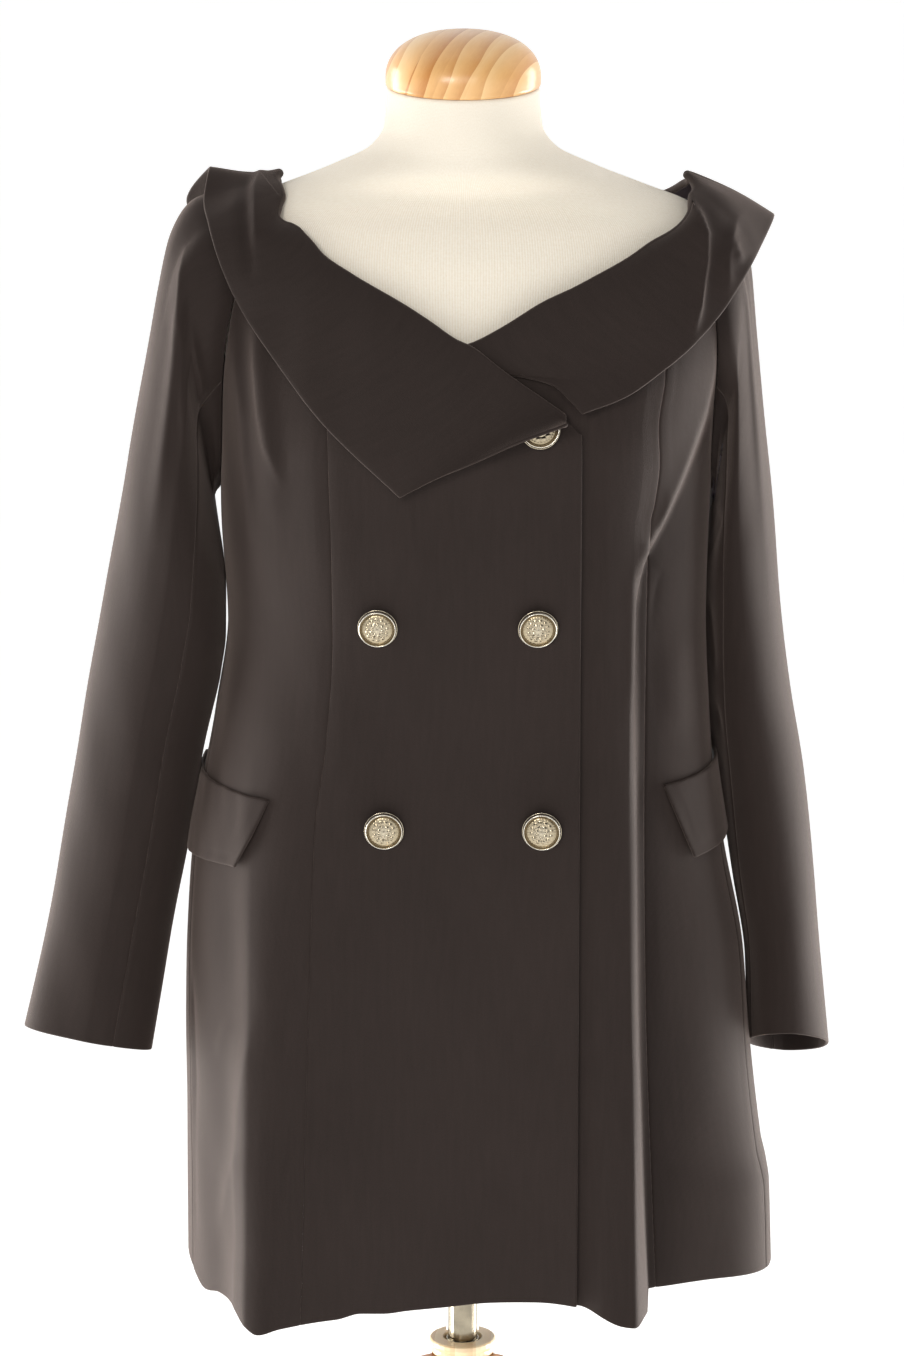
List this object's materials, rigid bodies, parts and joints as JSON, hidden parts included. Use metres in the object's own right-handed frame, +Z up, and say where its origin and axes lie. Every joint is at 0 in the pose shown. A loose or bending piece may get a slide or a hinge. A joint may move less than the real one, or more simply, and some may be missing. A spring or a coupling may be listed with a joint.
{
  "type": "blazer on a tripod dress form",
  "caption": "Long double-breasted off-the-shoulder blazer with wide lapels, resting on a limbless dress form with a wooden tripod.",
  "frame": {"origin": "the middle of the whole object's box, on the floor it stands on", "axes": "+Z up, the front of the garment faces -Y, the wearer's left is at +X"},
  "size_m": [0.5946, 0.4664, 1.5395],
  "materials": {
    "cloth": "soft brown-black brushed suiting with a faint sheen",
    "button": "pale gold metal, worn silver on the high parts",
    "jersey": "cream ribbed jersey cover",
    "pine": "varnished laminated pine",
    "steel": "polished tube",
    "wire": "polished wire"
  },
  "bodies": {
    "root": {"front_right": "cloth", "front_left": "cloth", "side_front_right": "cloth", "side_front_left": "cloth", "back_right": "cloth", "back_left": "cloth", "sleeve_upper_right": "cloth", "sleeve_under_right": "cloth", "sleeve_upper_left": "cloth", "sleeve_under_left": "cloth", "pocket_flap_right": "cloth", "pocket_flap_left": "cloth", "lapel_right": "cloth", "lapel_left": "cloth", "collar_back": "cloth", "button_top_left": "button", "button_waist_right": "button", "button_waist_left": "button", "button_hip_right": "button", "button_hip_left": "button", "form_torso": "jersey", "neck_cap": "pine", "post": "steel", "ferrule": "steel", "hub": "pine", "leg_1": "pine", "leg_2": "pine", "leg_3": "pine", "leg_bail_1": "wire", "leg_bail_2": "wire", "leg_bail_3": "wire"}
  },
  "joints": []
}
